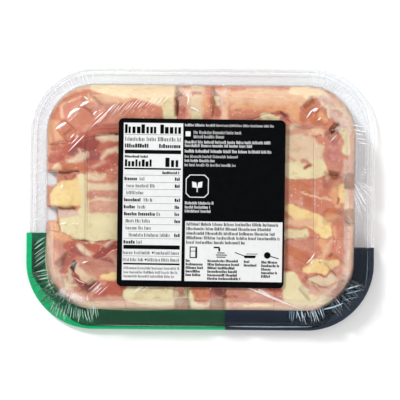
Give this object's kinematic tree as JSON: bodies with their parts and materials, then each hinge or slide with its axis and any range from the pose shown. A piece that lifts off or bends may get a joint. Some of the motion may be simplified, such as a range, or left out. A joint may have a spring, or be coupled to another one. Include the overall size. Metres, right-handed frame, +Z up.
{
  "type": "tray pack of raw chicken thighs",
  "caption": "Clear plastic tray of raw boneless chicken thighs, overwrapped in clear film and lying face down, with its fluted base up and a square label on it.",
  "frame": {"origin": "on the surface that the pack lies on, under the centre of its outline", "axes": "+X along the pack's length to the right of the label as it is read, +Y towards the label's top, +Z up out of the tray's base"},
  "size_m": [0.217, 0.165, 0.0415],
  "materials": {
    "tray": "clear thermoformed sheet, glossy",
    "wrap": "clear film, glossy",
    "label": "black printed film, satin",
    "meat": "raw chicken: pink muscle with cream fat, moist"
  },
  "bodies": {
    "root": {"tray": "tray", "wrap": "wrap", "label": "label", "thigh_top_left": "meat", "thigh_top_middle": "meat", "thigh_top_right": "meat", "thigh_right_upper": "meat", "thigh_right_middle": "meat", "thigh_right_lower": "meat", "thigh_bottom_right": "meat", "thigh_bottom_middle": "meat", "thigh_bottom_centre": "meat", "thigh_bottom_left": "meat", "thigh_left": "meat", "thigh_centre_left": "meat", "thigh_centre_right": "meat"}
  },
  "joints": []
}
